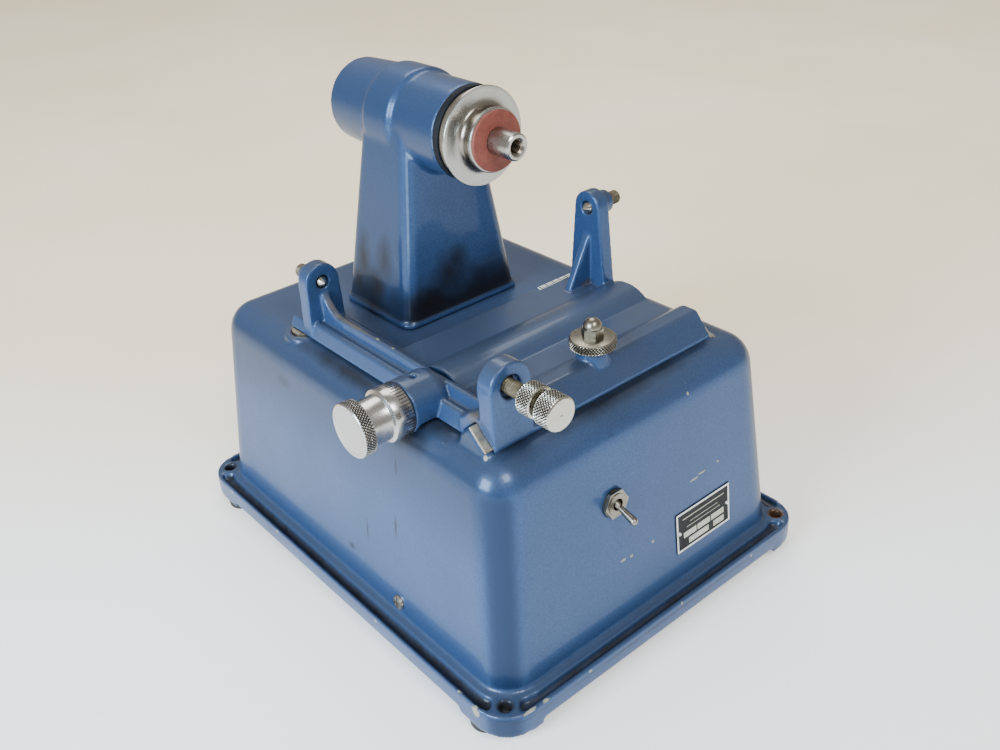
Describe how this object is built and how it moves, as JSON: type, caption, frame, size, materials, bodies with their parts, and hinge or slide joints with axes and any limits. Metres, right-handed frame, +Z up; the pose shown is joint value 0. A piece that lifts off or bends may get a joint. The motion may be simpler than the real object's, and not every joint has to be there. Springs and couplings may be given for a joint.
{
  "type": "faceting machine",
  "caption": "Bench lapidary machine: cast housing with a belt-driven horizontal spindle on a column and a micrometer-fed cross slide that carries the pivot centres of a swing arm.",
  "frame": {"origin": "centre of the four base bolt holes, in the plane of the corner pads' undersides; the rubber feet stand 5.5 mm lower", "axes": "+X to the operator's right along the front face, +Y to the rear along the spindle axis, +Z up"},
  "size_m": [0.2434, 0.305, 0.2799],
  "materials": {
    "blue_enamel": "glossy hammered enamel",
    "bright_steel": "turned",
    "nickel": "worn nickel plate, knurled rims",
    "zinc_steel": "plain screws",
    "aluminium": "spun",
    "brass": "machined",
    "black_rubber": "matte",
    "dark_label": "satin black with bare border",
    "white_scale": "satin",
    "red_fibre": "matte",
    "brown_ring": "dull",
    "motor_grey": "satin",
    "black_plastic": "moulded",
    "laminations": "dull"
  },
  "bodies": {
    "machine": {"housing_casting": "blue_enamel", "base_cover": "motor_grey", "base_cover_screws": "zinc_steel", "rubber_feet": "black_rubber", "foot_screws": "zinc_steel", "nameplate": "dark_label", "nameplate_rivets": "aluminium", "switch_body": "black_plastic", "switch_nut": "nickel", "wall_plug": "zinc_steel", "cord_grommet": "black_rubber", "rest_button": "brass", "column_casting": "blue_enamel", "column_bolts": "zinc_steel", "front_bearing": "bright_steel", "rear_bearing": "bright_steel", "felt_seal": "black_rubber", "bearing_cap": "brown_ring", "barrel_end_cap": "aluminium", "drive_belt": "black_rubber", "motor_shell": "motor_grey", "motor_front_bell": "aluminium", "motor_rear_bell": "aluminium", "motor_saddle": "motor_grey", "motor_straps": "zinc_steel", "motor_bolts": "zinc_steel", "motor_capacitor": "aluminium", "capacitor_clip": "zinc_steel", "feed_nut": "brass", "feed_nut_screws": "zinc_steel"},
    "carriage": {"slide_casting": "blue_enamel", "gib_strip": "brass", "scale_strip": "white_scale", "feed_bush": "brass", "rear_centre_screw": "bright_steel", "right_centre_screw": "bright_steel"},
    "feed": {"feed_screw": "bright_steel", "graduated_drum": "aluminium", "micrometer_knob": "aluminium"},
    "spindle": {"spindle_shaft": "nickel", "large_flange": "bright_steel", "small_flange": "nickel", "fibre_washer": "red_fibre", "spindle_pulley": "zinc_steel", "spindle_locknut": "zinc_steel"},
    "rotor": {"motor_rotor": "laminations", "motor_shaft": "bright_steel", "motor_pulley": "zinc_steel"},
    "pivot_screw": {"pivot_stud": "bright_steel"},
    "pivot_handle": {"pivot_knob": "nickel"},
    "lock_nut": {"pivot_lock_nut": "nickel"},
    "stop_screw": {"stop_stud": "bright_steel"},
    "stop_handle": {"stop_wheel": "nickel", "stop_cap_nut": "nickel"},
    "switch_lever": {"toggle_lever": "nickel"}
  },
  "joints": [
    {"name": "carriage_slide", "type": "slide", "parent": "machine", "child": "carriage", "axis": [1, 0, 0], "range_m": [-0.022, 0.0015]},
    {"name": "feed_turn", "type": "hinge", "parent": "carriage", "child": "feed", "pos_m": [-0.0957, -0.058, 0.1455], "axis": [1, 0, 0], "range_deg": [-6236.7, 425.7]},
    {"name": "spindle_turn", "type": "hinge", "parent": "machine", "child": "spindle", "pos_m": [0.003, 0, 0.247], "axis": [0, 1, 0], "continuous": true},
    {"name": "motor_turn", "type": "hinge", "parent": "machine", "child": "rotor", "pos_m": [0.003, 0, 0.062], "axis": [0, 1, 0], "continuous": true},
    {"name": "pivot_advance", "type": "slide", "parent": "carriage", "child": "pivot_screw", "axis": [0, 1, 0], "range_m": [-0.004, 0.003]},
    {"name": "pivot_turn", "type": "hinge", "parent": "pivot_screw", "child": "pivot_handle", "pos_m": [-0.0704, -0.143, 0.171], "axis": [0, 1, 0], "range_deg": [-1021, 765.9]},
    {"name": "lock_nut_travel", "type": "slide", "parent": "pivot_screw", "child": "lock_nut", "axis": [0, 1, 0], "range_m": [-0.003, 0.008]},
    {"name": "stop_advance", "type": "slide", "parent": "carriage", "child": "stop_screw", "axis": [0, 0, 1], "range_m": [-0.0005, 0.005]},
    {"name": "stop_turn", "type": "hinge", "parent": "stop_screw", "child": "stop_handle", "pos_m": [-0.004, -0.1, 0.162], "axis": [0, 0, 1], "range_deg": [-142.2, 1417.8]},
    {"name": "toggle_throw", "type": "hinge", "parent": "machine", "child": "switch_lever", "pos_m": [-0.0238, -0.13497, 0.09051], "axis": [1, 0, 0], "range_deg": [-48, 0]}
  ],
  "couplings": [
    {"joint": "feed_turn", "follows": "carriage_slide", "rad_per_m": 4947.4},
    {"joint": "spindle_turn", "follows": "motor_turn", "ratio": 1.2},
    {"joint": "pivot_turn", "follows": "pivot_advance", "rad_per_m": 4452.7},
    {"joint": "stop_turn", "follows": "stop_advance", "rad_per_m": 4947.4}
  ]
}
